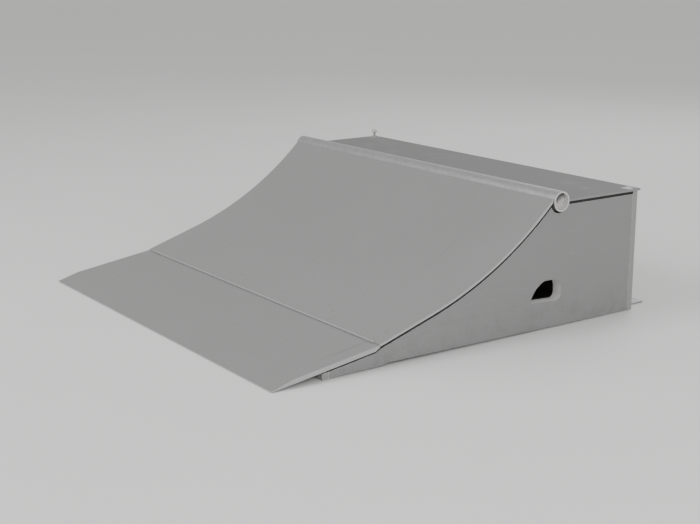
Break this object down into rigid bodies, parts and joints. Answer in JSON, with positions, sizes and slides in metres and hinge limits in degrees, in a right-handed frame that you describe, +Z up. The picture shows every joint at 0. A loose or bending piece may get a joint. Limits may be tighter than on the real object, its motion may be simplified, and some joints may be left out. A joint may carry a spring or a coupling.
{
  "type": "folding skate ramp",
  "caption": "Portable quarter-pipe ramp with curved riding face, tubular coping, flat deck, closed sides with hand holes, and a hinged approach plate that folds onto the riding face.",
  "frame": {"origin": "middle of the footprint on the floor: centre of the overall box, at its lowest level", "axes": "+X to the ramp's right as a rider goes up it, +Y horizontally towards the rear board, +Z up"},
  "size_m": [1.228, 1.274, 0.3707],
  "materials": {
    "riding_composite": "satin phenolic sheet, scuffed",
    "plate_composite": "satin compact laminate, scuffed",
    "painted_ply": "grey paint over plywood",
    "bare_ply": "unfinished birch plywood",
    "stud_timber": "planed softwood",
    "rubber": "matt",
    "plug_plastic": "moulded",
    "coping_steel": "galvanised tube, worn bright on top",
    "zinc_steel": "zinc plated",
    "fastener_steel": "zinc plated",
    "pin_steel": "turned steel"
  },
  "bodies": {
    "main_frame": {"anchor_bracket_left": "zinc_steel", "anchor_bracket_right": "zinc_steel", "approach_rib_1": "bare_ply", "approach_rib_2": "bare_ply", "approach_rib_3": "bare_ply", "bracket_bolts": "fastener_steel", "coping_header": "stud_timber", "coping_plug_left": "plug_plastic", "coping_plug_right": "plug_plastic", "coping_saddle_1": "zinc_steel", "coping_saddle_2": "zinc_steel", "coping_saddle_3": "zinc_steel", "coping_tube": "coping_steel", "deck_board": "bare_ply", "deck_joist_1": "stud_timber", "deck_joist_2": "stud_timber", "deck_joist_3": "stud_timber", "deck_ledger_left": "stud_timber", "deck_ledger_right": "stud_timber", "deck_screws": "fastener_steel", "deck_sheet": "riding_composite", "deck_strip_left": "rubber", "deck_strip_right": "rubber", "edge_strip_left": "rubber", "edge_strip_right": "rubber", "fixed_leaf_screws": "fastener_steel", "foot_pad_front_left": "rubber", "foot_pad_front_right": "rubber", "foot_pad_rear_left": "rubber", "foot_pad_rear_right": "rubber", "front_sleeper": "painted_ply", "hand_hole_doubler_left": "bare_ply", "hand_hole_doubler_right": "bare_ply", "hinge_leaf_fixed": "zinc_steel", "hinge_pin": "fastener_steel", "hinge_rail": "stud_timber", "joist_cleats": "zinc_steel", "pin_socket_left": "zinc_steel", "pin_socket_right": "zinc_steel", "rear_board": "painted_ply", "rear_board_screws": "fastener_steel", "rear_sill": "stud_timber", "riding_sheet": "riding_composite", "riding_sheet_screws": "fastener_steel", "saddle_screws": "fastener_steel", "side_panel_left": "painted_ply", "side_panel_right": "painted_ply", "socket_screws": "fastener_steel", "substrate": "bare_ply", "transition_joist_1": "stud_timber", "transition_joist_2": "stud_timber", "transition_joist_3": "stud_timber", "transition_joist_4": "stud_timber", "transition_joist_5": "stud_timber"},
    "approach_flap": {"approach_plate": "plate_composite", "hinge_leaf_flap": "zinc_steel", "flap_leaf_screws": "fastener_steel"},
    "drop_pin_body": {"drop_pin": "pin_steel"}
  },
  "joints": [
    {"name": "approach_hinge", "type": "hinge", "parent": "main_frame", "child": "approach_flap", "pos_m": [0, -0.32895, 0.05914], "axis": [-1, 0, 0], "range_deg": [0, 170]},
    {"name": "drop_pin_slide", "type": "slide", "parent": "main_frame", "child": "drop_pin_body", "axis": [0, 0, 1], "range_m": [0, 0.052]}
  ]
}
